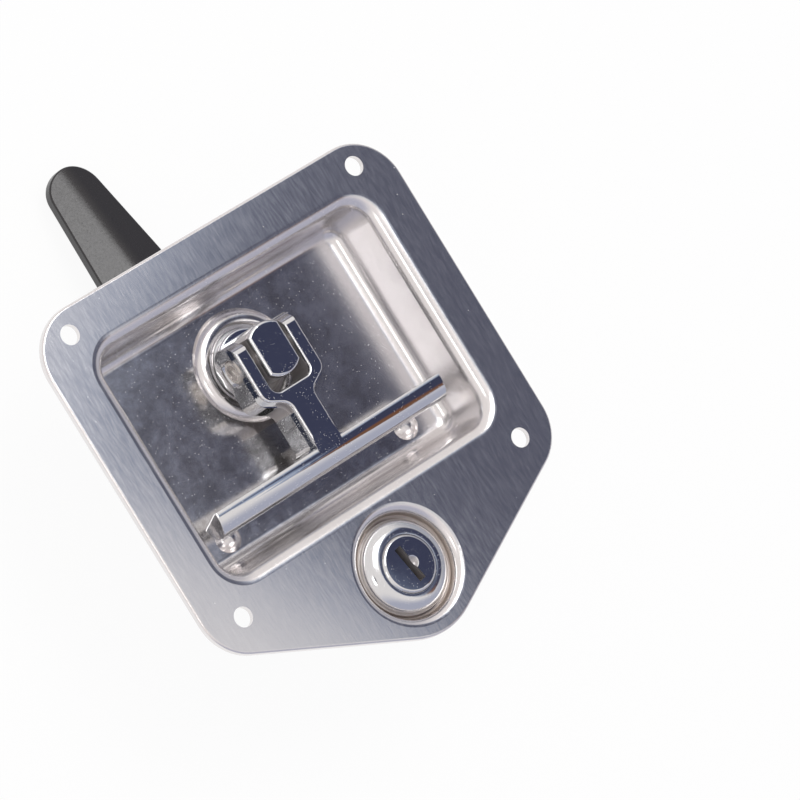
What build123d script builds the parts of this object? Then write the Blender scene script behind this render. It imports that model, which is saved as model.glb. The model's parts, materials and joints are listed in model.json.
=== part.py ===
from build123d import *
import os
from math import cos, radians, sin, sqrt, tan

os.makedirs("parts", exist_ok=True)

# Flush folding T-handle latch with a key lock, in millimetres.
# Origin: centre of the four mounting holes, on the rear face of the flange.
# +Z points out of the door, +X across it, +Y towards the latch arm.

# Pressed sheet and its flange
sheet = 1.6
flange_width = 112.0
flange_top = 44.7
flange_side_end = 43.4
corner_radius = 13.2
point_radius = 19.5
edge_round = 0.7

# Length of a cut that has to pass right through a piece, and how near two levels count as one
through = 200.0
level_tolerance = 0.001

# Mounting holes
hole_inset_x = 10.6
hole_span_y = 76.9
hole_radius = 2.5

# Recessed pan, measured where its walls would meet the front face
pan_width = 85.6
pan_height = 62.0
pan_centre_y = 0.5
pan_depth = 16.0
pan_draft = 8.0
pan_corner = 6.5
rim_radius = 3.5
floor_radius = 3.8

# Raised ring round the shaft, pressed up from the pan floor
ring_outer = 14.2
ring_crest = 11.9
ring_height = 1.8
ring_lip = 0.7
shaft_hole = 9.0

# Two stop bumps pressed up from the pan floor
bump_spread = 58.2
bump_y = -21.7
bump_radius = 3.5
bump_height = 1.8

# Shaft and its place
shaft_y = 11.1
shaft_radius = 6.8
head_proud = -0.4
tongue_width = 9.4
tongue_radius = 7.0
tongue_round = 0.7
collar_gap = 0.3
collar_round = 0.7
collar_thick = 2.2
square_size = 9.5
thread_radius = 4.6

# Hinge between shaft and handle
pin_below = 6.4
pin_radius = 3.2
pin_edge = 0.4
pin_inset = 0.3
pin_dish_radius = 2.0
pin_dish_depth = 0.5
pin_recess_radius = 3.9
pin_recess_depth = 0.7
ear_radius = 6.15
ear_clearance = 0.5

# Handle casting
handle_below = 1.2
handle_depth = 9.7
fork_width = 19.3
slot_width = 12.2
slot_reach = 9.6
slot_corner = 2.2
stem_width = 7.4
shoulder_reach = 9.9
shoulder_drop = 3.0
shoulder_round = 3.0
part_step = 0.6
part_line = 2.2
handle_edge = 0.5

# Grip bar, its section given from the hinge pin
bar_length = 72.8
bar_near = 25.6
bar_apex = 4.3
bar_crest = 27.0
bar_top = 4.6
bar_front = 31.2
bar_front_height = 3.0
bar_far = 31.95
bar_far_height = 0.2
bar_foot = 28.2
bar_low = 4.1
bar_end_round = 0.35
stem_flare = 1.6
stem_fall = 3.0

# Housing that carries the shaft
running_gap = 0.05
fit_gap = 0.05
housing_flange_radius = 18.5
housing_flange_thick = 2.4
hub_radius = 11.5
hub_length = 7.6
spring_seat_radius = 9.4
spring_seat_depth = 6.0
seal_section = 1.6

# Rotation stop: a post on the housing, in a cut-out of the stop plate
post_inner = 14.0
post_outer = 17.5
post_start = 31.0
post_arc = 30.0
turn_range = 90.0
stop_slack = 1.0

# Shaft spring, washer and clip
spring_wire = 1.2
spring_pitch = 2.6
thrust_radius = 11.0
thrust_thick = 1.2
clip_thick = 1.0
clip_radius = 8.8
clip_groove = 0.7
clip_opening = 8.0

# Stop plate
plate_thick = 3.2
plate_radius = 18.0
plate_tongue_width = 8.0
plate_tongue_gap = 0.6

# Latch arm: a flat root, then two flanks that fall from a rounded crest
arm_thick = 3.0
arm_reach = 64.2
arm_root_radius = 13.6
arm_tip_radius = 7.3
arm_bend_reach = 23.3
arm_slope = 10.9
arm_flank = 11.7
arm_crest_radius = 12.0
arm_edge = 0.5

# Fasteners of the arm
washer_radius = 11.0
washer_thick = 1.6
split_washer_radius = 8.6
split_washer_thick = 2.2
split_gap = 1.0
split_slant = 20.0
nut_across = 15.0
nut_thick = 6.0
nut_cut_angle = 30.0
stud_proud = 1.5

# Key lock
lock_land = 0.4
lock_recess_radius = 13.4
lock_recess_depth = 3.6
lock_rim_radius = 2.3
lock_floor_radius = 0.9
lock_draft = 10.0
point_margin = 4.8
bezel_radius = 11.9
bezel_foot = 0.5
bezel_proud = 0.35
bezel_swell = 10.9
bezel_swell_height = 2.6
bezel_face = 7.4
body_radius = 9.4
body_flats = 16.0
body_length = 26.9
plug_radius = 7.2
plug_proud = 0.9
plug_round = 0.8
plug_head_length = 3.0
plug_core_radius = 6.5
plug_square = 6.0
plug_end_gap = 0.4

# Keyway and wafers
key_width = 2.0
key_length = 9.6
key_depth = 22.0
key_lean = 10.0
dimple_radius = 1.7
dimple_depth = 0.8
dimple_offset = 0.8
wafer_count = 5
wafer_thick = 0.6
wafer_width = 6.0
wafer_window_end = 0.6
wafer_spacing = 3.0
wafer_first = 5.0
wafer_gap = 0.1

# Lock fasteners and tail
lock_washer_radius = 12.0
lock_washer_thick = 1.0
lock_nut_across = 23.0
lock_nut_thick = 4.0
tail_thick = 2.4
tail_root_radius = 9.0
tail_reach = 22.0
tail_width = 8.0
tail_corner = 2.0
tail_overlap = 3.6
screw_radius = 2.0
screw_head_radius = 4.2
screw_head_thick = 2.2
screw_head_round = 0.7
screw_length = 9.0
screw_slot_width = 1.0
screw_slot_depth = 1.0

# Levels and widths worked out from the sizes above


def rim_reach(radius, draft):
    """How far a rim's rounding reaches on to the flat, past where the drafted wall would meet it."""
    return radius / tan(radians((90 + draft) / 2))


front = sheet
pan_floor = front - pan_depth
pan_back = pan_floor - sheet
pan_skin = sheet / cos(radians(pan_draft))
flange_half = flange_width / 2
pan_lower_rim = pan_centre_y - pan_height / 2 - rim_reach(rim_radius, pan_draft)
lock_rim = lock_recess_radius + rim_reach(lock_rim_radius, lock_draft)
lock_y = pan_lower_rim - lock_land - lock_rim
flange_point = lock_y - lock_rim - point_margin
collar_radius = shaft_hole - collar_gap
plate_tongue_reach = shaft_y - lock_y - tail_reach + tail_overlap
pin_z = front - pin_below
head_top = front + head_proud
handle_top = front - handle_below
handle_bottom = handle_top - handle_depth
collar_top = pin_z - ear_radius - ear_clearance
collar_bottom = collar_top - collar_thick
housing_front = collar_bottom - running_gap
flange_rear = pan_back - housing_flange_thick
hub_rear = flange_rear - hub_length
thrust_top = hub_rear - 2 * running_gap
thrust_bottom = thrust_top - thrust_thick
clip_top = thrust_bottom - running_gap
clip_bottom = clip_top - clip_thick
plate_top = clip_bottom - clip_thick + running_gap
plate_bottom = plate_top - plate_thick
arm_bottom = plate_bottom - arm_thick
washer_bottom = arm_bottom - washer_thick
split_bottom = washer_bottom - split_washer_thick
nut_bottom = split_bottom - nut_thick
stud_end = nut_bottom - stud_proud
lock_seat = front - lock_recess_depth
lock_back = lock_seat - sheet
body_end = lock_seat - body_length
plug_face = front + plug_proud
plug_shoulder = body_end - plug_end_gap
tail_bottom = plug_shoulder - tail_thick
shaft_axis = Axis((0, shaft_y, 0), (0, 0, 1))
lock_axis = Axis((0, lock_y, 0), (0, 0, 1))


def section_at(y, x=0):
    """Plane whose local x is a radius and local y is height, about the upright line at x and y."""
    return Plane(origin=(x, y, 0), x_dir=(1, 0, 0), z_dir=(0, -1, 0))


def ring_of(inner, outer, top, bottom, y):
    """A plain flat ring about the line at y, as a finished part."""
    with BuildPart() as ring:
        with BuildSketch(Plane.XY.offset(bottom)):
            with Locations((0, y)):
                Circle(outer)
                Circle(inner, mode=Mode.SUBTRACT)
        extrude(amount=top - bottom)
    return ring.part


def flat_faces(part, height):
    """The level faces of a part at one height, largest last."""
    low = height - level_tolerance
    high = height + level_tolerance
    return part.faces().filter_by(Axis.Z).filter_by_position(Axis.Z, low, high).sort_by(SortBy.AREA)


# Dish: flange, pan and lock recess pressed from one sheet
with BuildPart() as dish:
    with BuildSketch():
        with BuildLine():
            Polyline(
                (-flange_half, flange_top),
                (flange_half, flange_top),
                (flange_half, -flange_side_end),
                (0, flange_point),
                (-flange_half, -flange_side_end),
                close=True,
            )
        make_face()
        fillet(vertices().sort_by(Axis.Y)[1:], corner_radius)
        fillet(vertices().sort_by(Axis.Y)[0:1], point_radius)
    extrude(amount=sheet)
    fillet(dish.faces().sort_by(Axis.Z)[-1].edges(), edge_round)
    with BuildSketch(Plane.XY.offset(front)):
        with Locations((0, pan_centre_y)):
            RectangleRounded(pan_width + 2 * pan_skin, pan_height + 2 * pan_skin, pan_corner + pan_skin)
    extrude(amount=-pan_depth - sheet, taper=pan_draft)
    fillet(dish.faces().sort_by(Axis.Z)[0].edges(), floor_radius + sheet)
    with BuildSketch(Plane.XY.offset(front)):
        with Locations((0, lock_y)):
            Circle(lock_recess_radius + sheet / cos(radians(lock_draft)))
    extrude(amount=-lock_recess_depth - sheet, taper=lock_draft)
    fillet(flat_faces(dish, lock_back).edges(), lock_floor_radius + sheet)
    rear_wires = flat_faces(dish, 0)[-1].inner_wires().sort_by(SortBy.LENGTH)
    pan_wire = rear_wires[-1]
    lock_wire = rear_wires[0]
    fillet(pan_wire.edges(), rim_radius - sheet)
    fillet(lock_wire.edges(), lock_rim_radius - sheet)
    with BuildSketch(Plane.XY.offset(front)):
        with Locations((0, pan_centre_y)):
            RectangleRounded(pan_width, pan_height, pan_corner)
    extrude(amount=-pan_depth, taper=pan_draft, mode=Mode.SUBTRACT)
    fillet(flat_faces(dish, pan_floor).edges(), floor_radius)
    with BuildSketch(Plane.XY.offset(front)):
        with Locations((0, lock_y)):
            Circle(lock_recess_radius)
    extrude(amount=-lock_recess_depth, taper=lock_draft, mode=Mode.SUBTRACT)
    fillet(flat_faces(dish, lock_seat).edges(), lock_floor_radius)
    front_wires = flat_faces(dish, front)[-1].inner_wires().sort_by(SortBy.LENGTH)
    fillet(front_wires[-1].edges(), rim_radius)
    fillet(flat_faces(dish, front)[-1].inner_wires().sort_by(SortBy.LENGTH)[0].edges(), lock_rim_radius)

    # The ring round the shaft keeps the sheet's thickness over its crest
    with Locations((0, shaft_y, pan_floor)):
        Cylinder(ring_outer, 2 * (sheet + ring_height), mode=Mode.SUBTRACT)
    with BuildSketch(section_at(shaft_y)):
        with BuildLine():
            ThreePointArc(
                (ring_outer, pan_floor),
                (ring_crest, pan_floor + ring_height),
                (shaft_hole, pan_floor + ring_lip),
            )
            Line((shaft_hole, pan_floor + ring_lip), (shaft_hole, pan_back + ring_lip))
            ThreePointArc(
                (shaft_hole, pan_back + ring_lip),
                (ring_crest, pan_back + ring_height),
                (ring_outer, pan_back),
            )
            Line((ring_outer, pan_back), (ring_outer, pan_floor))
        make_face()
    revolve(axis=shaft_axis)

    # Each bump is domed in front and hollow behind, from two spheres on one centre
    bump_sphere = (bump_radius**2 + bump_height**2) / (2 * bump_height)
    bump_centre = pan_floor + bump_height - bump_sphere
    hollow_sphere = bump_sphere - sheet
    hollow_radius = sqrt(hollow_sphere**2 - (pan_back - bump_centre) ** 2)
    for side in (-1, 1):
        bump_x = side * bump_spread / 2
        bump_axis = Axis((bump_x, bump_y, 0), (0, 0, 1))
        with BuildSketch(section_at(bump_y, bump_x)):
            with BuildLine():
                RadiusArc((0, pan_floor + bump_height), (bump_radius, pan_floor), bump_sphere)
                Polyline((bump_radius, pan_floor), (0, pan_floor), (0, pan_floor + bump_height))
            make_face()
        revolve(axis=bump_axis)
        with BuildSketch(section_at(bump_y, bump_x)):
            with BuildLine():
                RadiusArc((0, pan_back + bump_height), (hollow_radius, pan_back), hollow_sphere)
                Polyline((hollow_radius, pan_back), (0, pan_back), (0, pan_back + bump_height))
            make_face()
        revolve(axis=bump_axis, mode=Mode.SUBTRACT)

    # Mounting holes, and the lock hole with its two flats
    with BuildSketch():
        with GridLocations(flange_width - 2 * hole_inset_x, hole_span_y, 2, 2):
            Circle(hole_radius)
    extrude(amount=sheet, mode=Mode.SUBTRACT)
    with BuildSketch(Plane.XY.offset(lock_back)):
        with Locations((0, lock_y)):
            Circle(body_radius + fit_gap)
            Rectangle(body_flats + 2 * fit_gap, 2 * bezel_radius, mode=Mode.INTERSECT)
    extrude(amount=sheet, mode=Mode.SUBTRACT)
dish.part.label = "dish"
export_step(dish.part, "parts/dish.step")

# Housing: a flanged bearing whose neck is staked in the ring, with a seal groove and the stop post
seal_radius = shaft_radius + running_gap + seal_section
seal_top = pan_back - (housing_flange_thick - seal_section) / 2
seal_bottom = seal_top - seal_section
with BuildPart() as spindle_housing:
    with BuildSketch(section_at(shaft_y)):
        with BuildLine():
            Polyline(
                (shaft_radius + running_gap, housing_front),
                (shaft_hole - fit_gap, housing_front),
                (shaft_hole - fit_gap, pan_back),
                (housing_flange_radius, pan_back),
                (housing_flange_radius, flange_rear),
                (hub_radius, flange_rear),
                (hub_radius, hub_rear),
                (spring_seat_radius, hub_rear),
                (spring_seat_radius, hub_rear + spring_seat_depth),
                (shaft_radius + running_gap, hub_rear + spring_seat_depth),
                (shaft_radius + running_gap, seal_bottom - fit_gap),
                (seal_radius + fit_gap, seal_bottom - fit_gap),
                (seal_radius + fit_gap, seal_top + fit_gap),
                (shaft_radius + running_gap, seal_top + fit_gap),
                close=True,
            )
        make_face()
    revolve(axis=shaft_axis)
    with BuildSketch(Plane.XY.offset(flange_rear)):
        with Locations((0, shaft_y)):
            Circle(post_outer)
            Circle(post_inner, mode=Mode.SUBTRACT)
            with BuildLine():
                start = PolarLine((0, shaft_y), through, post_start)
                end = PolarLine((0, shaft_y), through, post_start + post_arc)
                Line(start @ 1, end @ 1)
        make_face(mode=Mode.INTERSECT)
    extrude(amount=plate_bottom - flange_rear + stop_slack)
spindle_housing.part.label = "spindle_housing"
export_step(spindle_housing.part, "parts/spindle_housing.step")

# Square-cut seal in the housing's groove, round the shaft
shaft_seal = ring_of(shaft_radius + running_gap, seal_radius, seal_top, seal_bottom, shaft_y)
shaft_seal.label = "shaft_seal"
export_step(shaft_seal, "parts/shaft_seal.step")

# Spindle: round bar with a flat tongue in front, a collar, a square and a threaded stud
with BuildPart() as spindle:
    with BuildSketch(section_at(shaft_y)):
        with BuildLine():
            Polyline(
                (0, collar_top),
                (collar_radius, collar_top),
                (collar_radius, collar_bottom),
                (shaft_radius, collar_bottom),
                (shaft_radius, clip_top + running_gap),
                (shaft_radius - clip_groove, clip_top + running_gap),
                (shaft_radius - clip_groove, clip_bottom - running_gap),
                (shaft_radius, clip_bottom - running_gap),
                (shaft_radius, plate_top),
                (0, plate_top),
                close=True,
            )
        make_face()
    revolve(axis=shaft_axis)
    collar_edge = spindle.edges().filter_by(GeomType.CIRCLE).group_by(Axis.Z)[-1]
    fillet(collar_edge, collar_round)
    with BuildSketch(Plane.XY.offset(collar_top)):
        with Locations((0, shaft_y)):
            Circle(tongue_radius)
            Rectangle(tongue_width, 2 * tongue_radius, mode=Mode.INTERSECT)
    extrude(amount=head_top - collar_top)
    fillet(spindle.faces().sort_by(Axis.Z)[-1].edges(), tongue_round)
    with BuildSketch(Plane.XY.offset(plate_top)):
        with Locations((0, shaft_y)):
            Rectangle(square_size, square_size)
            Circle(shaft_radius, mode=Mode.INTERSECT)
    extrude(amount=arm_bottom + fit_gap - plate_top)
    with BuildSketch(Plane.XY.offset(stud_end)):
        with Locations((0, shaft_y)):
            Circle(thread_radius)
    extrude(amount=arm_bottom - stud_end + running_gap)
    chamfer(spindle.faces().sort_by(Axis.Z)[0].edges(), tongue_round)
    with BuildSketch(Plane.YZ):
        with Locations((shaft_y, pin_z)):
            Circle(pin_radius + running_gap)
    extrude(amount=through, both=True, mode=Mode.SUBTRACT)
spindle.part.label = "spindle"
export_step(spindle.part, "parts/spindle.step")


def handle_plan(grow):
    """Plan of the fork and stem from the grip bar up, with its sides moved out by grow."""
    fork_half = fork_width / 2 + grow
    stem_half = stem_width / 2 + grow
    shoulder_y = shaft_y - shoulder_reach - grow
    neck_y = shoulder_y - shoulder_drop
    with BuildSketch() as plan:
        with BuildLine():
            Polyline(
                (-fork_half, shaft_y + ear_radius),
                (-fork_half, shoulder_y),
                (-stem_half, neck_y),
                (-stem_half, shaft_y - bar_crest),
                (stem_half, shaft_y - bar_crest),
                (stem_half, neck_y),
                (fork_half, shoulder_y),
                (fork_half, shaft_y + ear_radius),
                close=True,
            )
        make_face()
        fillet(vertices().group_by(Axis.Y)[1:3], shoulder_round)
    return plan.sketch


def stem_foot():
    """Plan of the stem's foot below the part line: it spreads in two hollow curves to the grip bar."""
    half = stem_width / 2 + part_step + stem_flare
    top_y = shaft_y - bar_near + stem_flare
    with BuildSketch() as foot:
        with Locations((0, top_y)):
            Rectangle(2 * half, bar_foot - bar_near + stem_flare, align=(Align.CENTER, Align.MAX))
        with Locations((-half, top_y), (half, top_y)):
            Circle(stem_flare, mode=Mode.SUBTRACT)
    return foot.sketch


# Handle: one casting, a fork on a stem with a grip bar across its end
ear_face = fork_width / 2 + part_step
bar_points = {
    "near": (shaft_y - bar_near, pin_z + bar_apex),
    "crest": (shaft_y - bar_crest, pin_z + bar_top),
    "front": (shaft_y - bar_front, pin_z + bar_front_height),
    "far": (shaft_y - bar_far, pin_z + bar_far_height),
    "foot": (shaft_y - bar_foot, pin_z - bar_low),
}
with BuildPart() as handle:
    with BuildSketch(Plane.YZ):
        with Locations((shaft_y, pin_z)):
            Circle(ear_radius)
        with BuildLine():
            Polyline(
                bar_points["crest"],
                bar_points["foot"],
                (shaft_y - bar_near + stem_fall, handle_bottom),
                (shaft_y, handle_bottom),
                (shaft_y, handle_top),
                (shaft_y - bar_near + stem_fall, handle_top),
                close=True,
            )
        make_face()
        with Locations((shaft_y, handle_top)):
            Rectangle(through, through, align=(Align.CENTER, Align.MIN), mode=Mode.SUBTRACT)
    extrude(amount=fork_width, both=True)
    with BuildSketch():
        add(handle_plan(part_step))
        add(stem_foot())
    extrude(amount=through, both=True, mode=Mode.INTERSECT)
    with BuildSketch(Plane.XY.offset(handle_top - part_line)):
        Rectangle(through, through)
        add(handle_plan(0), mode=Mode.SUBTRACT)
    extrude(amount=through, mode=Mode.SUBTRACT)
    with BuildSketch():
        with Locations((0, shaft_y - slot_reach)):
            RectangleRounded(slot_width, through, slot_corner, align=(Align.CENTER, Align.MIN))
    extrude(amount=through, both=True, mode=Mode.SUBTRACT)
    fillet(flat_faces(handle, handle_top)[-1].edges(), handle_edge)
    with BuildSketch(Plane.YZ.offset(-bar_length / 2)) as bar_section:
        with BuildLine():
            TangentArc(bar_points["crest"], bar_points["near"], tangent=(1, 0))
            TangentArc(bar_points["crest"], bar_points["front"], tangent=(-1, 0))
            ThreePointArc(bar_points["front"], bar_points["far"], bar_points["foot"])
            Line(bar_points["foot"], bar_points["near"])
        make_face()
        fillet(vertices().sort_by(Axis.Y)[:-1], bar_end_round)
    extrude(amount=bar_length)
    ends = handle.faces().filter_by(Axis.X)
    fillet(ends.sort_by(Axis.X)[0].edges() + ends.sort_by(Axis.X)[-1].edges(), bar_end_round)
    with BuildSketch(Plane.YZ):
        with Locations((shaft_y, pin_z)):
            Circle(pin_radius)
    extrude(amount=through, both=True, mode=Mode.SUBTRACT)
    for side in (-1, 1):
        with BuildSketch(Plane(origin=(side * ear_face, shaft_y, pin_z), z_dir=(side, 0, 0))):
            Circle(pin_recess_radius)
        extrude(amount=-pin_recess_depth, mode=Mode.SUBTRACT)
handle.part.label = "handle"
export_step(handle.part, "parts/handle.step")

# Hinge pin, held in the ears and free in the tongue
pin_half = ear_face - pin_inset
dish_sphere = (pin_dish_radius**2 + pin_dish_depth**2) / (2 * pin_dish_depth)
with BuildPart() as hinge_pin:
    with BuildSketch(Plane(origin=(0, shaft_y, pin_z), x_dir=(1, 0, 0), z_dir=(0, -1, 0))):
        with BuildLine():
            RadiusArc((pin_half - pin_dish_depth, 0), (pin_half, pin_dish_radius), dish_sphere)
            Polyline(
                (pin_half, pin_dish_radius),
                (pin_half, pin_radius - pin_edge),
                (pin_half - pin_edge, pin_radius),
                (0, pin_radius),
                (0, 0),
                (pin_half - pin_dish_depth, 0),
            )
        make_face()
    revolve(axis=Axis((0, shaft_y, pin_z), (1, 0, 0)))
    mirror(about=Plane.YZ)
hinge_pin.part.label = "hinge_pin"
export_step(hinge_pin.part, "parts/hinge_pin.step")

# Spring that draws the shaft back, in the seat behind the housing
spring_top = hub_rear + spring_seat_depth - spring_wire / 2 - running_gap
spring_foot = thrust_top + spring_wire / 2 + running_gap
spring_middle = (shaft_radius + spring_seat_radius) / 2
with BuildPart() as shaft_spring:
    with BuildLine(Plane.XY.offset(spring_foot)):
        coil = Helix(spring_pitch, spring_top - spring_foot, spring_middle, center=(0, shaft_y, 0))
    with BuildSketch(Plane(origin=coil @ 0, z_dir=coil % 0)):
        Circle(spring_wire / 2)
    sweep(path=coil)
shaft_spring.part.label = "shaft_spring"
export_step(shaft_spring.part, "parts/shaft_spring.step")

# Thrust washer under the spring, and the clip that holds it
thrust_washer = ring_of(shaft_radius + running_gap, thrust_radius, thrust_top, thrust_bottom, shaft_y)
thrust_washer.label = "thrust_washer"
export_step(thrust_washer, "parts/thrust_washer.step")

with BuildPart() as retaining_clip:
    with BuildSketch(Plane.XY.offset(clip_bottom)):
        with Locations((0, shaft_y)):
            Circle(clip_radius)
            Circle(shaft_radius - clip_groove + fit_gap, mode=Mode.SUBTRACT)
        with Locations((0, shaft_y)):
            Rectangle(clip_opening, through, align=(Align.CENTER, Align.MAX), mode=Mode.SUBTRACT)
    extrude(amount=clip_thick)
retaining_clip.part.label = "retaining_clip"
export_step(retaining_clip.part, "parts/retaining_clip.step")

# Stop plate: turns with the shaft, its cut-out runs past the post, its tongue meets the lock tail
tongue_inner = tail_width / 2 + plate_tongue_gap
with BuildPart() as stop_plate:
    with BuildSketch(Plane.XY.offset(plate_bottom)):
        with Locations((0, shaft_y)):
            Circle(plate_radius)
        with Locations((tongue_inner + plate_tongue_width / 2, shaft_y - plate_tongue_reach / 2)):
            Rectangle(plate_tongue_width, plate_tongue_reach)
        cut_start = post_start - stop_slack
        cut_end = post_start + post_arc + turn_range + stop_slack
        with BuildLine():
            inner_arc = CenterArc((0, shaft_y), post_inner - running_gap, cut_start, cut_end - cut_start)
            outer_arc = CenterArc((0, shaft_y), through, cut_start, cut_end - cut_start)
            Line(inner_arc @ 0, outer_arc @ 0)
            Line(inner_arc @ 1, outer_arc @ 1)
        make_face(mode=Mode.SUBTRACT)
        with Locations((0, shaft_y)):
            Rectangle(square_size + 2 * fit_gap, square_size + 2 * fit_gap, mode=Mode.SUBTRACT)
    extrude(amount=plate_thick)
stop_plate.part.label = "stop_plate"
export_step(stop_plate.part, "parts/stop_plate.step")


def below_arm_top(drop):
    """A block under the arm's top: below the flat root plane and below both flanks, lowered by drop."""
    fall = through * tan(radians(arm_flank))
    level = plate_bottom - drop
    crest_start = (0, shaft_y + arm_bend_reach, level)
    crest_along = (0, cos(radians(arm_slope)), -sin(radians(arm_slope)))
    with BuildPart() as block:
        with BuildSketch(Plane(origin=crest_start, x_dir=(1, 0, 0), z_dir=crest_along)):
            with BuildLine():
                Polyline(
                    (-through, through),
                    (-through, fall),
                    (0, 0),
                    (through, fall),
                    (through, through),
                    close=True,
                )
            make_face()
        extrude(amount=through, both=True)
        fillet(block.edges().sort_by_distance(crest_start)[0:1], arm_crest_radius)
        with BuildSketch(Plane.XY.offset(level)):
            Rectangle(through, through)
        extrude(amount=-through, mode=Mode.INTERSECT)
    return block.part


def arm_plan():
    """Plan of the arm: two round ends joined by tangent sides."""
    with BuildSketch() as plan:
        with Locations((0, shaft_y)):
            Circle(arm_root_radius)
        with Locations((0, shaft_y + arm_reach - arm_tip_radius)):
            Circle(arm_tip_radius)
        make_hull()
    return plan.sketch


# Latch arm
with BuildPart() as arm:
    add(below_arm_top(0))
    add(below_arm_top(arm_thick), mode=Mode.SUBTRACT)
    with BuildSketch(Plane.XY.offset(plate_bottom)):
        add(arm_plan())
    extrude(amount=-through, mode=Mode.INTERSECT)
    sides = arm.faces().filter_by(lambda face: abs(face.normal_at().Z) < level_tolerance)
    outline = sides.edges().filter_by(Axis.Z, reverse=True)
    fillet(outline, arm_edge)
    with BuildSketch(Plane.XY.offset(arm_bottom)):
        with Locations((0, shaft_y)):
            Rectangle(square_size + 2 * fit_gap, square_size + 2 * fit_gap)
    extrude(amount=arm_thick, mode=Mode.SUBTRACT)
arm.part.label = "arm"
export_step(arm.part, "parts/arm.step")


def hex_nut(across, bore, top, bottom, y):
    """A hexagon nut about the line at y, its corners cut back by a cone at both ends."""
    corner = across / sqrt(3)
    cut = (corner - across / 2) * tan(radians(nut_cut_angle))
    with BuildPart() as nut:
        with BuildSketch(Plane.XY.offset(bottom)):
            with Locations((0, y)):
                RegularPolygon(across / 2, 6, major_radius=False)
                Circle(bore, mode=Mode.SUBTRACT)
        extrude(amount=top - bottom)
        with BuildSketch(section_at(y)):
            with BuildLine():
                Polyline(
                    (0, top),
                    (across / 2, top),
                    (corner, top - cut),
                    (corner, bottom + cut),
                    (across / 2, bottom),
                    (0, bottom),
                    close=True,
                )
            make_face()
        revolve(axis=Axis((0, y, 0), (0, 0, 1)), mode=Mode.INTERSECT)
    return nut.part


# Washers and nut that hold the arm on the stud
stud_bore = thread_radius + fit_gap
arm_washer = ring_of(stud_bore, washer_radius, arm_bottom, washer_bottom, shaft_y)
arm_washer.label = "arm_washer"
export_step(arm_washer, "parts/arm_washer.step")

with BuildPart() as arm_split_washer:
    add(ring_of(stud_bore, split_washer_radius, washer_bottom, split_bottom, shaft_y))
    slit = Plane(origin=(0, shaft_y, washer_bottom - split_washer_thick / 2)).rotated((split_slant, 0, 0))
    with Locations(slit):
        Box(through, split_gap, through, align=(Align.MIN, Align.CENTER, Align.CENTER), mode=Mode.SUBTRACT)
arm_split_washer.part.label = "arm_split_washer"
export_step(arm_split_washer.part, "parts/arm_split_washer.step")

arm_nut = hex_nut(nut_across, stud_bore, split_bottom, nut_bottom, shaft_y)
arm_nut.label = "arm_nut"
export_step(arm_nut, "parts/arm_nut.step")

# Lock barrel: a domed bezel on a body with two flats, bored for the plug
with BuildPart() as lock_body:
    with BuildSketch(section_at(lock_y)):
        with BuildLine():
            foot = (bezel_radius, lock_seat + bezel_foot)
            ThreePointArc(
                foot,
                (bezel_swell, lock_seat + bezel_swell_height),
                (bezel_face, front + bezel_proud),
            )
            Polyline(
                (bezel_face, front + bezel_proud),
                (plug_radius + running_gap, front + bezel_proud),
                (plug_radius + running_gap, plug_face - plug_head_length - running_gap),
                (plug_core_radius + running_gap, plug_face - plug_head_length - running_gap),
                (plug_core_radius + running_gap, body_end),
                (body_radius, body_end),
                (body_radius, lock_seat),
                (bezel_radius, lock_seat),
                foot,
            )
        make_face()
    revolve(axis=lock_axis)
    with BuildSketch(Plane.XY.offset(lock_seat)):
        with Locations((0, lock_y)):
            Circle(through)
            Rectangle(body_flats, through, mode=Mode.SUBTRACT)
    extrude(amount=-body_length, mode=Mode.SUBTRACT)
lock_body.part.label = "lock_body"
export_step(lock_body.part, "parts/lock_body.step")

# Lock washer and nut behind the recess
barrel_bore = body_radius + fit_gap
lock_nut_top = lock_back - lock_washer_thick
lock_washer = ring_of(barrel_bore, lock_washer_radius, lock_back, lock_nut_top, lock_y)
lock_washer.label = "lock_washer"
export_step(lock_washer, "parts/lock_washer.step")

lock_nut = hex_nut(lock_nut_across, barrel_bore, lock_nut_top, lock_nut_top - lock_nut_thick, lock_y)
lock_nut.label = "lock_nut"
export_step(lock_nut, "parts/lock_nut.step")


def wafer_outline(gap):
    """Outline of a wafer across the plug, wider by gap on each side than the wafer itself."""
    with BuildSketch() as outline:
        Circle(plug_core_radius - wafer_gap + gap)
        Rectangle(wafer_width + 2 * gap, through, mode=Mode.INTERSECT)
    return outline.sketch


def keyway_plane(depth):
    """Plane across the plug at a depth under its face, its local y along the leaning keyway."""
    return Plane(origin=(0, lock_y, plug_face - depth)).rotated((0, 0, key_lean))


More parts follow.
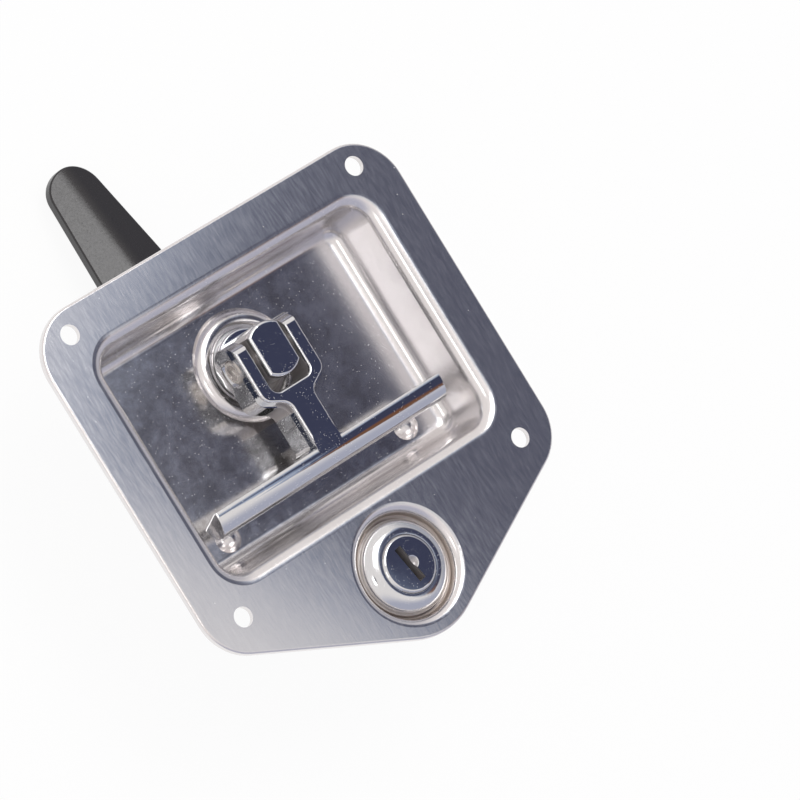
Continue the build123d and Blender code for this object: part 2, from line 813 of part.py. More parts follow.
# Lock plug: keyway, dimple and wafer slots in a turned core with a square end
wafer_depths = [wafer_first + wafer_spacing * index for index in range(wafer_count)]
with BuildPart() as lock_plug:
    with BuildSketch(section_at(lock_y)):
        with BuildLine():
            Polyline(
                (0, plug_face),
                (plug_radius, plug_face),
                (plug_radius, plug_face - plug_head_length),
                (plug_core_radius, plug_face - plug_head_length),
                (plug_core_radius, plug_shoulder),
                (0, plug_shoulder),
                close=True,
            )
        make_face()
    revolve(axis=lock_axis)
    fillet(lock_plug.edges().filter_by(GeomType.CIRCLE).group_by(Axis.Z)[-1], plug_round)
    with BuildSketch(Plane.XY.offset(plug_shoulder)):
        with Locations((0, lock_y)):
            Rectangle(plug_square, plug_square)
    extrude(amount=-tail_thick + fit_gap)
    with BuildSketch(keyway_plane(0)):
        Rectangle(key_width, key_length)
    extrude(amount=-key_depth, mode=Mode.SUBTRACT)
    dimple_sphere = (dimple_radius**2 + dimple_depth**2) / (2 * dimple_depth)
    with Locations((dimple_offset, lock_y, plug_face - dimple_depth + dimple_sphere)):
        Sphere(dimple_sphere, mode=Mode.SUBTRACT)
    for depth in wafer_depths:
        with BuildSketch(keyway_plane(depth + wafer_thick + wafer_gap)):
            Rectangle(wafer_width + 2 * wafer_gap, through)
        extrude(amount=wafer_thick + 2 * wafer_gap, mode=Mode.SUBTRACT)
    with BuildSketch(Plane.XY.offset(tail_bottom)):
        with Locations((0, lock_y)):
            Circle(screw_radius)
    extrude(amount=screw_length + wafer_gap, mode=Mode.SUBTRACT)
lock_plug.part.label = "lock_plug"
export_step(lock_plug.part, "parts/lock_plug.step")

# Lock wafers, each with a window for the key, drawn in as a key would hold them
with BuildPart() as lock_wafers:
    for depth in wafer_depths:
        with BuildSketch(keyway_plane(depth + wafer_thick)):
            add(wafer_outline(0))
            Rectangle(key_width + 2 * wafer_gap, key_length - 2 * wafer_window_end, mode=Mode.SUBTRACT)
        extrude(amount=wafer_thick)
lock_wafers.part.label = "lock_wafers"
export_step(lock_wafers.part, "parts/lock_wafers.step")

# Lock tail: at rest it points across the door, clear of the stop plate's tongue
with BuildPart() as lock_tail:
    with BuildSketch(Plane.XY.offset(tail_bottom)):
        with Locations((0, lock_y)):
            Circle(tail_root_radius)
        with Locations((-tail_reach / 2, lock_y)):
            Rectangle(tail_reach, tail_width)
        fillet(vertices().sort_by(Axis.X)[:2], tail_corner)
        with Locations((0, lock_y)):
            Rectangle(plug_square + 2 * fit_gap, plug_square + 2 * fit_gap, mode=Mode.SUBTRACT)
    extrude(amount=tail_thick)
lock_tail.part.label = "lock_tail"
export_step(lock_tail.part, "parts/lock_tail.step")

# Screw that holds the tail on the plug
with BuildPart() as tail_screw:
    with BuildSketch(Plane.XY.offset(tail_bottom)):
        with Locations((0, lock_y)):
            Circle(screw_head_radius)
    extrude(amount=-screw_head_thick)
    fillet(tail_screw.faces().sort_by(Axis.Z)[0].edges(), screw_head_round)
    with BuildSketch(Plane.XY.offset(tail_bottom)):
        with Locations((0, lock_y)):
            Circle(screw_radius)
    extrude(amount=screw_length)
    with BuildSketch(Plane.XY.offset(tail_bottom - screw_head_thick)):
        with Locations((0, lock_y)):
            Rectangle(screw_slot_width, through)
    extrude(amount=screw_slot_depth, mode=Mode.SUBTRACT)
tail_screw.part.label = "tail_screw"
export_step(tail_screw.part, "parts/tail_screw.step")
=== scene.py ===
"""Looks of a recessed T-handle latch with a key lock: finishes, fine thread, light and camera."""

import json
import math

import bpy
from mathutils import Matrix, Vector


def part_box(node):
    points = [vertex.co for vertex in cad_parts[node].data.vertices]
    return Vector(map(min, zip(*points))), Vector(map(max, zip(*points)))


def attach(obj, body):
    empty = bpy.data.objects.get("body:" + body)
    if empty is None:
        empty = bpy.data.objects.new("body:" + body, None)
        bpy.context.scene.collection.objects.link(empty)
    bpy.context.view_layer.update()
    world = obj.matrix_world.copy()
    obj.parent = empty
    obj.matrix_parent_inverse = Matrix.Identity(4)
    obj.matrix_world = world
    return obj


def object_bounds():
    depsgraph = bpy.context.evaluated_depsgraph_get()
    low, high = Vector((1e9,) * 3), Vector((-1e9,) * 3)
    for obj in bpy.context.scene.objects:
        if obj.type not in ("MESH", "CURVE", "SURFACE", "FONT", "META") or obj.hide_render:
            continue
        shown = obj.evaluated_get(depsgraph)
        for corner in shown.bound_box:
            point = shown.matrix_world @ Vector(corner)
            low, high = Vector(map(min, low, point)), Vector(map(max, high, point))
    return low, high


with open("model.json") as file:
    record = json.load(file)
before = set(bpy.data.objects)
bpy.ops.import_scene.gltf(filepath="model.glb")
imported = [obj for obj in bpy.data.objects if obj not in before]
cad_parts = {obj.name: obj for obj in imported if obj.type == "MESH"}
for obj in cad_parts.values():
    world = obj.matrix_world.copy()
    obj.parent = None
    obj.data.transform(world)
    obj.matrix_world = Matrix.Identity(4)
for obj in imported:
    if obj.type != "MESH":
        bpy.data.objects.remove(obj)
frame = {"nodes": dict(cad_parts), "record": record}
cad_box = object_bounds()
nodes = frame["nodes"]

MM = 0.001
WHITE = (1.0, 1.0, 1.0, 1.0)

# Camera at the photograph's place, for a square picture: degrees, metres, and millimetres for lens and sensor
CAMERA_AZIMUTH = 177.55
CAMERA_ELEVATION = 58.5
CAMERA_ROLL = 60.59
CAMERA_DISTANCE = 1.222
CAMERA_TARGET = (0.02187, -0.01525, 0.0016)
CAMERA_LENS = 229.93
SENSOR_WIDTH = 36.0
CAMERA_REACH = 100.0

# Lamps: name, azimuth and elevation in degrees, distance and size in metres, and power in watts
LAMPS = [("key", 66.0, 69.0, 0.8, 0.4, 1.8), ("fill", 178.0, 50.0, 1.0, 0.22, 0.42)]

# Floor under the lowest point: size and drop in metres, its matt grey, and the share of plain white over that
FLOOR_SIZE = 6.0
FLOOR_DROP = 0.001
FLOOR_GREY = 0.9
FLOOR_WHITE_SHARE = 0.93

# From here on, a pair of limits is where something starts to come in and where it is full.

# The pale tent that reflections see: its colour, and the limits along X and along Y of two other tints
TENT_COLOUR = (0.86, 0.82, 0.81)
TENT_TINTS = [((0.5, 0.9), (0.42, 0.42, 0.47)), ((-0.25, -0.75), (0.45, 0.46, 0.56))]

# The dark board over the +X side, which only reflections see: its place, its turn in degrees, and its reach
# and limits across and along it in metres. The bulge is how far its rim moves out at one end.
BOARD_PLACE = (0.1371, -0.0199, 0.35)
BOARD_TURN = 34.8
BOARD_REACH = ((-0.03, 0.36), (-0.36, 0.10))
RIM_ACROSS = (-0.005, 0.004)
FAR_ACROSS = (0.36, 0.26)
TOP_ALONG = (0.10, 0.02)
BOTTOM_ALONG = (-0.36, -0.26)
BULGE = 0.025
BULGE_ALONG = (-0.10, -0.125)
PALE_COLOUR = (0.34, 0.40, 0.54)
DEEP_COLOUR = (0.05, 0.055, 0.10)
DEEP_ACROSS = (0.006, 0.027)
DEEP_ALONG = (0.050, 0.0)
BROWN_COLOUR = (0.19, 0.085, 0.05)
BROWN_ACROSS = (0.06, 0.03)
BROWN_ALONG = (-0.14, -0.17)

# The camera's own dark reflection, a disc that fades towards its rim
LENS_DISTANCE = 0.9
LENS_RADIUS = 0.10
LENS_FULL_RADIUS = 0.05
LENS_COLOUR = (0.03, 0.035, 0.06)

# Stainless sheet: limits by height, by how far up the surface faces, and by X. Lists are stops of ramps, and
# pairs of strengths are for the pan and for the flange.
SHEET_METALLIC = 0.93
FLANGE_HEIGHTS = (0.4 * MM, 1.4 * MM)
DRAWN_UPRIGHT = (0.995, 0.93)
SATIN_ACROSS = (22.0 * MM, 36.0 * MM)
FLANGE_CLOUD = [(0.25, (0.64, 0.65, 0.68)), (0.75, (0.76, 0.765, 0.78))]
FLANGE_GRAIN = [(0.3, (0.64, 0.65, 0.68)), (0.7, (0.78, 0.785, 0.80))]
FLANGE_CLOUD_SHARE = 0.4
FLANGE_ROUGHNESS = [(0.3, 0.14), (0.7, 0.20)]
PAN_STAIN = [(0.38, (0.52, 0.50, 0.49)), (0.62, (0.74, 0.73, 0.74))]
PAN_ROUGHNESS = [(0.35, 0.12), (0.65, 0.15)]
SATIN_COLOUR = (0.72, 0.7056, 0.72)
SATIN_ROUGHNESS = 0.23
DRAWN_CLOUD = [(0.25, (0.79, 0.765, 0.76)), (0.75, (0.87, 0.845, 0.84))]
DRAWN_ROUGHNESS = [(0.3, 0.20), (0.7, 0.26)]
GRAIN_STRETCH = (1700.0, 260.0, 1700.0)
GRAIN_DEPTH = 0.02 * MM
GRAIN_STRENGTHS = (0.03, 0.20)
WAVE_DEPTH = 0.35 * MM
WAVE_STRENGTHS = (0.06, 0.03)

# Scratches in the pan: directions in degrees, limits in their own noise and in the stain's, and their finish
SCRATCH_TURNS = (32.0, -48.0)
SCRATCH_STRETCH = (2800.0, 90.0, 2800.0)
SCRATCH_LIMITS = (0.66, 0.74)
SCRATCH_PATCHES = (0.48, 0.62)
SCRATCH_MOST = 0.7
SCRATCH_GREY = 0.92
SCRATCH_COVER = 0.35
SCRATCH_ROUGHNESS = 0.12

# Grime and painted shade round the lock: limits by distance from its axis, by height and by how far up the
# surface faces
GRIME_AND_SHADE_RADII = (15.2 * MM, 14.6 * MM)
GRIME_AND_SHADE_HEIGHTS = (1.1 * MM, -0.3 * MM)
GRIME_AND_SHADE_UPRIGHT = (-0.1, 0.05)
# Painted shade: the colours run from dark in the groove round the bezel's foot to a pale grimy tint beyond
# these radii
GROOVE_RADII = (12.0 * MM, 12.8 * MM)
GRIME_AND_PAINTED_SHADE_COLOURS = [(0.0, (0.10, 0.065, 0.045)), (1.0, (0.74, 0.67, 0.62))]
GRIME_AND_SHADE_COVER = 0.85
GRIME_ROUGHNESS = 0.30

# Dust on the sheet, finer and denser in the pan
SHEET_DUST_GREY = 0.95
SHEET_DUST_COVER = 0.5
SHEET_DUST_ROUGHNESS = 0.5
FINE_DUST_MOST = 1.2

# Chrome, and the dust that lies on it in drifts
CHROME_COLOUR = (0.784, 0.792, 0.80)
CHROME_ROUGHNESS = 0.045
BEZEL_ROUGHNESS = 0.12
CHROME_RIPPLE = 0.02 * MM
DRIFT_LIMITS = (0.40, 0.60)
DUST_GREY = 0.9
DUST_COVER = 0.65
DUST_ROUGHNESS = 0.5
DUST_METAL_LOSS = 0.35

# Plating that polishing doesn't reach, in the fork and in the keyway
DULL_COLOUR = (0.42, 0.40, 0.40)
DULL_ROUGHNESS = 0.30
DULL_METAL_LOSS = 0.55
DULL_FADE = 0.3 * MM
SLOT_WALL = 3.9 * MM
SLOT_BRIGHT = 1.0 * MM
KEYWAY_MARGIN = 1.4 * MM
KEYWAY_BRIGHT = 0.35 * MM

# Plain metals: their colour, and the two roughnesses that they are mottled between
PLATED = {
    "zinc_casting": ((0.50, 0.50, 0.51), (0.35, 0.50)),
    "zinc_plated_steel": ((0.66, 0.67, 0.69), (0.22, 0.36)),
    "spring_steel": ((0.36, 0.37, 0.39), (0.25, 0.40)),
    "steel_pin": ((0.55, 0.52, 0.49), (0.20, 0.32)),
    "brass": ((0.50, 0.43, 0.34), (0.30, 0.45)),
}
MOTTLE_STOPS = (0.3, 0.7)
MOTTLE_SHADE = 0.9
MOTTLE_DEPTH = 0.02 * MM
MOTTLE_STRENGTH = 0.4

# Black paint with pinholes, and black rubber
PAINT_COLOUR = (0.0088, 0.0076, 0.0096)
PAINT_ROUGHNESS = [(0.3, 0.20), (0.7, 0.28)]
PAINT_SPECULAR = 0.7
PEEL_HEIGHT = 0.35
PEEL_STRENGTH = 0.8
RUBBER_GREY = 0.02
RUBBER_ROUGHNESS = [(0.3, 0.6), (0.7, 0.8)]
COAT_DEPTH = 0.05 * MM

# Fine thread round two CAD cylinders. Flat is how far the barrel's two flats are from its axis.
BARREL_THREAD = {
    "radius": 9.38 * MM,
    "pitch": 1.0 * MM,
    "depth": 0.28 * MM,
    "bottom": -28.4 * MM,
    "top": -9.2 * MM,
    "flat": 8.0 * MM,
}
STUD_THREAD = {
    "radius": 4.58 * MM,
    "pitch": 1.25 * MM,
    "depth": 0.30 * MM,
    "bottom": -46.0 * MM,
    "top": -45.1 * MM,
}
THREAD_STEPS = 6
THREAD_SIDES = 96
SLEEVE_THICK = 0.3 * MM
FLAT_LIFT = 0.01 * MM
LEAST_COSINE = 0.001


def direction(azimuth, elevation):
    """Unit vector towards an azimuth and elevation, both in degrees."""
    turn = math.radians(azimuth)
    rise = math.radians(elevation)
    return Vector((math.cos(rise) * math.cos(turn), math.cos(rise) * math.sin(turn), math.sin(rise)))


def facing(towards, roll=0.0):
    """Matrix that points local Z along a direction, after a roll about local Z in degrees."""
    turn = towards.to_track_quat("Z", "Y").to_matrix() @ Matrix.Rotation(math.radians(roll), 3, "Z")
    return turn.to_4x4()


def link(name, data):
    """A new object with that name and data, in the scene."""
    thing = bpy.data.objects.new(name, data)
    bpy.context.scene.collection.objects.link(thing)
    return thing


def make_camera():
    """Camera at the photograph's place, turned about its own axis by the roll."""
    data = bpy.data.cameras.new("camera")
    data.lens = CAMERA_LENS
    data.sensor_width = SENSOR_WIDTH
    data.clip_end = CAMERA_REACH
    camera = link("camera", data)
    back = direction(CAMERA_AZIMUTH, CAMERA_ELEVATION)
    place = Vector(CAMERA_TARGET) + CAMERA_DISTANCE * back
    camera.matrix_world = Matrix.Translation(place) @ facing(back, CAMERA_ROLL)
    bpy.context.scene.camera = camera


def make_lamp(name, azimuth, elevation, distance, size, power):
    """A square soft lamp that faces the object."""
    data = bpy.data.lights.new(name, "AREA")
    data.size = size
    data.energy = power
    lamp = link(name, data)
    towards = direction(azimuth, elevation)
    lamp.matrix_world = Matrix.Translation(distance * towards) @ facing(towards)
    lamp.visible_camera = False


def grey(value):
    """A grey with full alpha."""
    return (value, value, value, 1.0)


class Tree:
    """Short calls for building one node tree."""

    def __init__(self, tree):
        """Starts with the tree empty."""
        self.tree = tree
        self.tree.nodes.clear()

    def add(self, kind, **settings):
        """A node with its properties set by name, and its inputs set by a dictionary called sockets."""
        sockets = settings.pop("sockets", {})
        node = self.tree.nodes.new(kind)
        for name, value in settings.items():
            setattr(node, name, value)
        for name, value in sockets.items():
            self.put(node.inputs[name], value)
        return node

    def put(self, socket, value):
        """Links an output to a socket, or sets the socket to a plain value."""
        if isinstance(value, bpy.types.NodeSocket):
            self.tree.links.new(value, socket)
        else:
            socket.default_value = value

    def fill(self, node, values):
        """Puts values in a node's first inputs in turn, and gives its first output."""
        for socket, value in zip(node.inputs, values):
            self.put(socket, value)
        return node.outputs[0]

    def surface(self, shader, kind="ShaderNodeOutputMaterial"):
        """Ends the tree with a shader."""
        self.add(kind, sockets={"Surface": shader})

    def principled(self, colour, roughness, normal, metallic=0.0, specular=0.5):
        """Ends the tree with a Principled shader."""
        sockets = {
            "Base Color": colour,
            "Metallic": metallic,
            "Roughness": roughness,
            "Normal": normal,
            "Specular IOR Level": specular,
        }
        self.surface(self.add("ShaderNodeBsdfPrincipled", sockets=sockets).outputs[0])

    def blend(self, factor, first, second):
        """Mix of two shaders."""
        return self.fill(self.add("ShaderNodeMixShader"), (factor, first, second))

    def math(self, operation, *values, clamp=False):
        """One operation on plain values or outputs."""
        return self.fill(self.add("ShaderNodeMath", operation=operation, use_clamp=clamp), values)

    def times(self, *factors):
        """Product of two or more factors."""
        product = factors[0]
        for factor in factors[1:]:
            product = self.math("MULTIPLY", product, factor)
        return product

    def less(self, whole, part):
        """A whole less a part of it, kept between 0 and 1."""
        return self.math("SUBTRACT", whole, part, clamp=True)

    def reach(self, *parts):
        """How far a point is from the origin of its parts."""
        squares = [self.times(part, part) for part in parts]
        return self.math("SQRT", self.math("ADD", *squares))

    def mix(self, factor, first, second):
        """Mix of two colours."""
        node = self.add("ShaderNodeMix", data_type="RGBA")
        self.put(node.inputs[0], factor)
        self.put(node.inputs[6], first)
        self.put(node.inputs[7], second)
        return node.outputs[2]

    def ramp(self, factor, stops):
        """Colour ramp from (position, grey or colour) pairs."""
        node = self.add("ShaderNodeValToRGB")
        elements = node.color_ramp.elements
        while len(elements) < len(stops):
            elements.new(1.0)
        for element, (position, colour) in zip(elements, stops):
            element.position = position
            element.color = grey(colour) if isinstance(colour, float) else (*colour, 1.0)
        return self.fill(node, [factor])

    def step(self, value, start, full):
        """Smooth rise from 0 at start to 1 at full, whichever of them is the larger."""
        rising = start < full
        sockets = {
            "Value": value,
            "From Min": min(start, full),
            "From Max": max(start, full),
            "To Min": 0.0 if rising else 1.0,
            "To Max": 1.0 if rising else 0.0,
        }
        node = self.add("ShaderNodeMapRange", interpolation_type="SMOOTHSTEP", sockets=sockets)
        return node.outputs[0]

    def place(self):
        """The point in the object's own space, as one vector."""
        return self.add("ShaderNodeTexCoord").outputs["Object"]

    def parts(self, vector):
        """X, Y and Z of a vector."""
        return self.add("ShaderNodeSeparateXYZ", sockets={"Vector": vector}).outputs

    def noise(self, scale=1.0, detail=2.0, roughness=0.5, stretch=(1.0, 1.0, 1.0), turn=0.0):
        """Noise in object space. Scale is in turns per metre, stretch is its factor along each axis, and turn
        is in degrees about Z."""
        mapping = self.add("ShaderNodeMapping", vector_type="TEXTURE")
        self.put(mapping.inputs["Vector"], self.place())
        self.put(mapping.inputs["Rotation"], (0.0, 0.0, math.radians(turn)))
        self.put(mapping.inputs["Scale"], tuple(1.0 / part for part in stretch))
        sockets = {"Vector": mapping.outputs[0], "Scale": scale, "Detail": detail, "Roughness": roughness}
        return self.add("ShaderNodeTexNoise", sockets=sockets).outputs[0]

    def specks(self, scale, size, share):
        """Small round dots: 1 inside a dot, 0 outside. Share is the part of the cells that hold one."""
        cells = self.add("ShaderNodeTexVoronoi", sockets={"Vector": self.place(), "Scale": scale})
        inside = self.math("LESS_THAN", cells.outputs["Distance"], size)
        parts = self.add("ShaderNodeSeparateColor", sockets={"Color": cells.outputs["Color"]})
        return self.times(inside, self.math("LESS_THAN", parts.outputs[0], share))

    def within(self, low, high, fade):
        """1 inside a box given by two corners, falling to 0 over a fade outside it."""
        inside = 1.0
        for part, start, end in zip(self.parts(self.place()), low, high):
            inside = self.times(inside, self.step(part, start - fade, start))
            inside = self.times(inside, self.step(part, end + fade, end))
        return inside

    def bump(self, height, depth, strength=1.0, over=None):
        """A normal tilted by a height, over another normal if one is given."""
        sockets = {"Height": height, "Distance": depth, "Strength": strength}
        if over:
            sockets["Normal"] = over
        return self.add("ShaderNodeBump", sockets=sockets).outputs[0]


def new_material(name):
    """A named material with an empty node tree, and that tree."""
    material = bpy.data.materials.new(name)
    material.use_nodes = True
    return material, Tree(material.node_tree)


def scratches(tree, stain, on_flange):
    """Thin crossed lines in the stained patches of the pan, none on the flange."""
    lines = [tree.noise(stretch=SCRATCH_STRETCH, turn=turn) for turn in SCRATCH_TURNS]
    crossed = tree.math("MAXIMUM", *[tree.step(line, *SCRATCH_LIMITS) for line in lines])
    return tree.times(crossed, tree.step(stain, *SCRATCH_PATCHES), tree.less(SCRATCH_MOST, on_flange))


def lock_grime_and_shade(tree, x, y, height, upright):
    """Where the lock's recess is grimed and painted with shade, and its colour: painted shade, dark, in the
    groove round the bezel, and a pale grimy tint beyond.
    """
    low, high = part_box("lock_plug")
    reach = tree.reach(x, tree.math("SUBTRACT", y, (low[1] + high[1]) / 2))
    inside = tree.times(
        tree.step(reach, *GRIME_AND_SHADE_RADII), tree.step(height, *GRIME_AND_SHADE_HEIGHTS), tree.step(upright, *GRIME_AND_SHADE_UPRIGHT)
    )
    return inside, tree.ramp(tree.step(reach, *GROOVE_RADII), GRIME_AND_PAINTED_SHADE_COLOURS)


def sheet_dust(tree, on_flange):
    """Coarse specks all over the sheet, and fine ones mostly in the pan."""
    fine = tree.times(tree.specks(scale=1500.0, size=0.13, share=0.30), tree.less(FINE_DUST_MOST, on_flange))
    return tree.math("MAXIMUM", tree.specks(scale=620.0, size=0.07, share=0.08), fine)


def stainless_material():
    """Pressed stainless sheet: brushed along Y on the flange, stained in the pan and satin towards its
    +X wall, paler and warmer where it is drawn."""
    material, tree = new_material("brushed_stainless")
    x, y, height = tree.parts(tree.place())
    upright = tree.parts(tree.add("ShaderNodeNewGeometry").outputs["True Normal"])[2]
    on_flange = tree.step(height, *FLANGE_HEIGHTS)
    drawn = tree.step(upright, *DRAWN_UPRIGHT)
    satin = tree.step(x, *SATIN_ACROSS)
    grain = tree.noise(detail=3.0, roughness=0.6, stretch=GRAIN_STRETCH)
    cloud = tree.noise(scale=55.0, detail=4.0, roughness=0.6)
    stain = tree.noise(scale=170.0, detail=6.0, roughness=0.75)

    flange = tree.mix(FLANGE_CLOUD_SHARE, tree.ramp(grain, FLANGE_GRAIN), tree.ramp(cloud, FLANGE_CLOUD))
    pan = tree.mix(satin, tree.ramp(stain, PAN_STAIN), (*SATIN_COLOUR, 1.0))
    colour = tree.mix(drawn, tree.mix(on_flange, pan, flange), tree.ramp(cloud, DRAWN_CLOUD))
    pan = tree.mix(satin, tree.ramp(stain, PAN_ROUGHNESS), grey(SATIN_ROUGHNESS))
    level = tree.mix(on_flange, pan, tree.ramp(grain, FLANGE_ROUGHNESS))
    roughness = tree.mix(drawn, level, tree.ramp(cloud, DRAWN_ROUGHNESS))

    scratch = scratches(tree, stain, on_flange)
    colour = tree.mix(tree.times(scratch, SCRATCH_COVER), colour, grey(SCRATCH_GREY))
    roughness = tree.math("ADD", roughness, tree.times(scratch, SCRATCH_ROUGHNESS))
    # Grime round the lock, and painted shade that darkens the groove round the bezel's foot
    grimed_and_shaded, recess_shade_and_grime = lock_grime_and_shade(tree, x, y, height, upright)
    colour = tree.mix(tree.times(grimed_and_shaded, GRIME_AND_SHADE_COVER), colour, recess_shade_and_grime)
    roughness = tree.math("MAXIMUM", roughness, tree.times(grimed_and_shaded, GRIME_ROUGHNESS))
    dust = sheet_dust(tree, on_flange)
    colour = tree.mix(tree.times(dust, SHEET_DUST_COVER), colour, grey(SHEET_DUST_GREY))
    roughness = tree.mix(dust, roughness, grey(SHEET_DUST_ROUGHNESS))

    strengths = [tree.mix(on_flange, *map(grey, pair)) for pair in (WAVE_STRENGTHS, GRAIN_STRENGTHS)]
    wave = tree.bump(tree.noise(scale=45.0, detail=1.0), WAVE_DEPTH, strengths[0])
    normal = tree.bump(grain, GRAIN_DEPTH, strengths[1], over=wave)
    tree.principled(colour, roughness, normal, metallic=SHEET_METALLIC)
    return material


def chrome_material(name, dull=None, base=CHROME_ROUGHNESS):
    """Mirror chrome with specks of dust. Inside the box called dull it is satin and less bright."""
    material, tree = new_material(name)
    drift = tree.step(tree.noise(scale=260.0, detail=3.0, roughness=0.6), *DRIFT_LIMITS)
    fine = tree.times(tree.specks(scale=2300.0, size=0.19, share=0.6), drift)
    coarse = tree.specks(scale=1000.0, size=0.08, share=0.15)
    dust = tree.times(tree.math("MAXIMUM", coarse, fine), DUST_COVER)
    colour = tree.mix(dust, (*CHROME_COLOUR, 1.0), grey(DUST_GREY))
    roughness = tree.math("MULTIPLY_ADD", dust, DUST_ROUGHNESS, base)
    metallic = tree.less(1.0, tree.times(dust, DUST_METAL_LOSS))
    if dull:
        inside = tree.within(*dull, DULL_FADE)
        colour = tree.mix(inside, colour, (*DULL_COLOUR, 1.0))
        roughness = tree.math("MAXIMUM", roughness, tree.times(inside, DULL_ROUGHNESS))
        metallic = tree.times(metallic, tree.less(1.0, tree.times(inside, DULL_METAL_LOSS)))
    tree.principled(colour, roughness, tree.bump(tree.noise(scale=120.0), CHROME_RIPPLE), metallic)
    return material


def plated_material(name, tint, roughnesses):
    """Plain plated steel: a soft mottled metal between two roughnesses."""
    material, tree = new_material(name)
    mottle = tree.noise(scale=300.0, detail=4.0, roughness=0.6)
    shades = (tuple(MOTTLE_SHADE * part for part in tint), tint)
    colour = tree.ramp(mottle, list(zip(MOTTLE_STOPS, shades)))
    roughness = tree.ramp(mottle, list(zip(MOTTLE_STOPS, roughnesses)))
    normal = tree.bump(mottle, MOTTLE_DEPTH, MOTTLE_STRENGTH)
    tree.principled(colour, roughness, normal, metallic=1.0)
    return material


def paint_material():
    """Semi-gloss black paint with a fine orange peel and pinholes."""
    material, tree = new_material("black_painted_steel")
    peel = tree.noise(scale=1600.0)
    holes = tree.specks(scale=800.0, size=0.12, share=0.5)
    height = tree.math("SUBTRACT", tree.times(peel, PEEL_HEIGHT), holes)
    normal = tree.bump(height, COAT_DEPTH, PEEL_STRENGTH)
    roughness = tree.ramp(peel, PAINT_ROUGHNESS)
    tree.principled((*PAINT_COLOUR, 1.0), roughness, normal, specular=PAINT_SPECULAR)
    return material


def rubber_material():
    """Matt black rubber."""
    material, tree = new_material("black_rubber")
    grainy = tree.noise(scale=1500.0, detail=3.0, roughness=0.7)
    roughness = tree.ramp(grainy, RUBBER_ROUGHNESS)
    tree.principled(grey(RUBBER_GREY), roughness, tree.bump(grainy, COAT_DEPTH))
    return material


def fork_slot():
    """Box of the handle's slot and its pin hole, below the bright rim of its top."""
    low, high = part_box("handle")
    pin_low, pin_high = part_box("hinge_pin")
    half = (pin_high[0] - pin_low[0]) / 2 - SLOT_WALL
    return (-half, pin_low[1] - 2 * half, low[2] - 2 * half), (half, high[1], high[2] - SLOT_BRIGHT)


def keyway():
    """Box of the keyway below the plug's bright face."""
    low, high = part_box("lock_wafers")
    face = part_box("lock_plug")[1][2]
    side = KEYWAY_MARGIN
    bottom = (low[0] - side, low[1] - side, low[2] - side)
    return bottom, (high[0] + side, high[1] + side, face - KEYWAY_BRIGHT)


def thread_ring(centre_y, height, reaches, flat):
    """One ring of points round the axis at a height, cut off by the flats on the -X and +X sides."""
    points = []
    for side, reach in enumerate(reaches):
        angle = 2 * math.pi * side / THREAD_SIDES
        reach = min(reach, flat / max(abs(math.cos(angle)), LEAST_COSINE))
        points.append((reach * math.cos(angle), centre_y + reach * math.sin(angle), height))
    return points


def thread_rings(centre_y, radius, pitch, depth, bottom, top, flat=math.inf):
    """Rings of a hollow sleeve with one ridge that climbs it: up the outside, and down the inside."""
    levels = round((top - bottom) / pitch * THREAD_STEPS)
    rings = []
    for level in range(levels + 1):
        fade = min(1.0, level / THREAD_STEPS, (levels - level) / THREAD_STEPS)
        phases = [(level / THREAD_STEPS - side / THREAD_SIDES) % 1.0 for side in range(THREAD_SIDES)]
        reaches = [radius + depth * fade * (1.0 - abs(2.0 * phase - 1.0)) for phase in phases]
        height = bottom + (top - bottom) * level / levels
        rings.append(thread_ring(centre_y, height, reaches, flat + FLAT_LIFT))
    for height in (top, bottom):
        reaches = THREAD_SIDES * [radius - SLEEVE_THICK]
        rings.append(thread_ring(centre_y, height, reaches, flat - SLEEVE_THICK))
    return rings


def make_thread(name, node, body, sizes):
    """Fine thread as a sleeve on a plain CAD cylinder, in that node's material."""
    low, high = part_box(node)
    rings = thread_rings((low[1] + high[1]) / 2, **sizes)
    faces = []
    for ring in range(len(rings)):
        here = ring * THREAD_SIDES
        there = (ring + 1) % len(rings) * THREAD_SIDES
        for side in range(THREAD_SIDES):
            after = (side + 1) % THREAD_SIDES
            faces.append((here + side, here + after, there + after, there + side))
    mesh = bpy.data.meshes.new(name)
    mesh.from_pydata([point for ring in rings for point in ring], [], faces)
    mesh.update()
    mesh.materials.append(nodes[node].data.materials[0])
    thread = link(name, mesh)
    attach(thread, body)


def dress(node, material):
    """Gives a CAD node one material."""
    mesh = nodes[node].data
    mesh.materials.clear()
    mesh.materials.append(material)


def dress_all():
    """Each node takes the material that its slot in the record names, a chromed one its own chrome."""
    materials = {name: plated_material(name, *finish) for name, finish in PLATED.items()}
    materials["brushed_stainless"] = stainless_material()
    materials["black_painted_steel"] = paint_material()
    materials["black_rubber"] = rubber_material()
    fork = fork_slot()
    chromes = {
        "handle": chrome_material("handle_chrome", fork),
        "spindle": chrome_material("spindle_chrome", fork),
        "lock_body": chrome_material("bezel_chrome", base=BEZEL_ROUGHNESS),
        "lock_plug": chrome_material("plug_chrome", keyway()),
    }
    for entry in frame["record"]["subparts"]:
        node = entry["node"]
        dress(node, chromes[node] if node in chromes else materials[entry["material_slot"]])
    make_thread("barrel_thread", "lock_body", "pan", BARREL_THREAD)
    make_thread("stud_thread", "spindle", "shaft", STUD_THREAD)


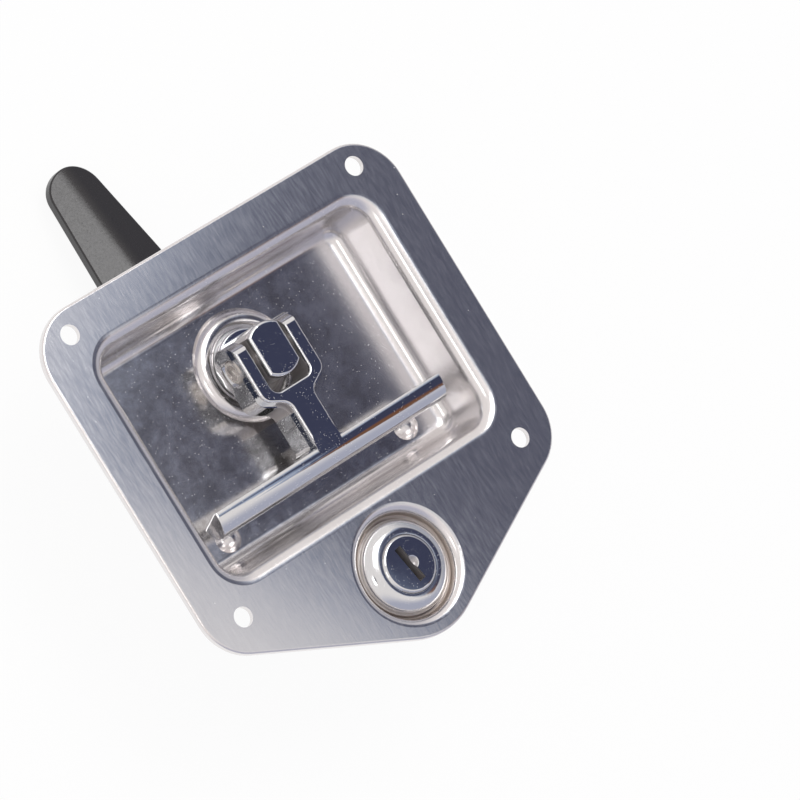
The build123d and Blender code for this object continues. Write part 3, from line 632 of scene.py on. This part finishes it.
def make_floor():
    """Floor under the lowest point, nearly plain white to the camera and to reflections, matt to the rest."""
    low = cad_box[0]
    bpy.ops.mesh.primitive_plane_add(size=FLOOR_SIZE, location=(0, 0, low[2] - FLOOR_DROP))
    floor = bpy.context.object
    floor.name = "floor"
    material, tree = new_material("floor")
    matt = tree.add("ShaderNodeBsdfDiffuse", sockets={"Color": grey(FLOOR_GREY)})
    white = tree.add("ShaderNodeEmission", sockets={"Color": WHITE, "Strength": 1.0})
    path = tree.add("ShaderNodeLightPath")
    seen = tree.math("MAXIMUM", path.outputs["Is Camera Ray"], path.outputs["Is Glossy Ray"])
    tree.surface(tree.blend(tree.times(seen, FLOOR_WHITE_SHARE), matt.outputs[0], white.outputs[0]))
    floor.data.materials.append(material)


def make_world():
    """White to the camera; a pale tent in reflections, warm on the camera's side and cooler on the others."""
    world = bpy.data.worlds.new("world")
    bpy.context.scene.world = world
    world.use_nodes = True
    tree = Tree(world.node_tree)
    path = tree.add("ShaderNodeLightPath")
    towards = tree.add("ShaderNodeTexCoord").outputs["Generated"]
    colour = (*TENT_COLOUR, 1.0)
    for part, (limits, tint) in zip(tree.parts(towards), TENT_TINTS):
        colour = tree.mix(tree.step(part, *limits), colour, (*tint, 1.0))
    room = tree.add("ShaderNodeBackground", sockets={"Color": colour, "Strength": 1.0})
    white = tree.add("ShaderNodeBackground", sockets={"Color": WHITE, "Strength": 1.0})
    both = tree.blend(path.outputs["Is Camera Ray"], room.outputs[0], white.outputs[0])
    tree.surface(both, "ShaderNodeOutputWorld")


def make_card(name, matrix, reach):
    """A flat card that only reflections see. Gives its tree, and the place across and along it in metres."""
    (left, right), (near, far) = reach
    mesh = bpy.data.meshes.new(name)
    mesh.from_pydata([(left, near, 0), (right, near, 0), (right, far, 0), (left, far, 0)], [], [(0, 1, 2, 3)])
    card = link(name, mesh)
    card.matrix_world = matrix
    material, tree = new_material(name)
    mesh.materials.append(material)
    card.visible_camera = False
    card.visible_diffuse = False
    card.visible_shadow = False
    across, along, _ = tree.parts(tree.place())
    return tree, across, along


def finish_card(tree, colour, opacity):
    """Gives a card its own light, clear where its opacity is nought."""
    light = tree.add("ShaderNodeEmission", sockets={"Color": colour})
    clear = tree.add("ShaderNodeBsdfTransparent")
    tree.surface(tree.blend(opacity, clear.outputs[0], light.outputs[0]))


def make_board():
    """Dark board over the +X side: a crisp bulging rim, paler next to it, brown at one end, and soft ends."""
    matrix = Matrix.Translation(BOARD_PLACE) @ Matrix.Rotation(math.radians(BOARD_TURN), 4, "Z")
    tree, across, along = make_card("board", matrix, BOARD_REACH)
    across = tree.math("ADD", across, tree.times(tree.step(along, *BULGE_ALONG), BULGE))
    inside = tree.times(
        tree.step(across, *RIM_ACROSS),
        tree.step(across, *FAR_ACROSS),
        tree.step(along, *TOP_ALONG),
        tree.step(along, *BOTTOM_ALONG),
    )
    deep = tree.times(tree.step(across, *DEEP_ACROSS), tree.step(along, *DEEP_ALONG))
    browned = tree.times(tree.step(along, *BROWN_ALONG), tree.step(across, *BROWN_ACROSS))
    colour = tree.mix(deep, (*PALE_COLOUR, 1.0), (*DEEP_COLOUR, 1.0))
    finish_card(tree, tree.mix(browned, colour, (*BROWN_COLOUR, 1.0)), inside)


def make_lens():
    """The dark camera itself, which faces that point at it reflect."""
    back = direction(CAMERA_AZIMUTH, CAMERA_ELEVATION)
    matrix = Matrix.Translation(LENS_DISTANCE * back) @ facing(back)
    tree, across, along = make_card("lens", matrix, 2 * [(-LENS_RADIUS, LENS_RADIUS)])
    opacity = tree.step(tree.reach(across, along), LENS_RADIUS, LENS_FULL_RADIUS)
    finish_card(tree, (*LENS_COLOUR, 1.0), opacity)


make_camera()
make_world()
make_floor()
make_board()
make_lens()
for lamp in LAMPS:
    make_lamp(*lamp)
dress_all()

bpy.context.scene.view_settings.view_transform = "Standard"
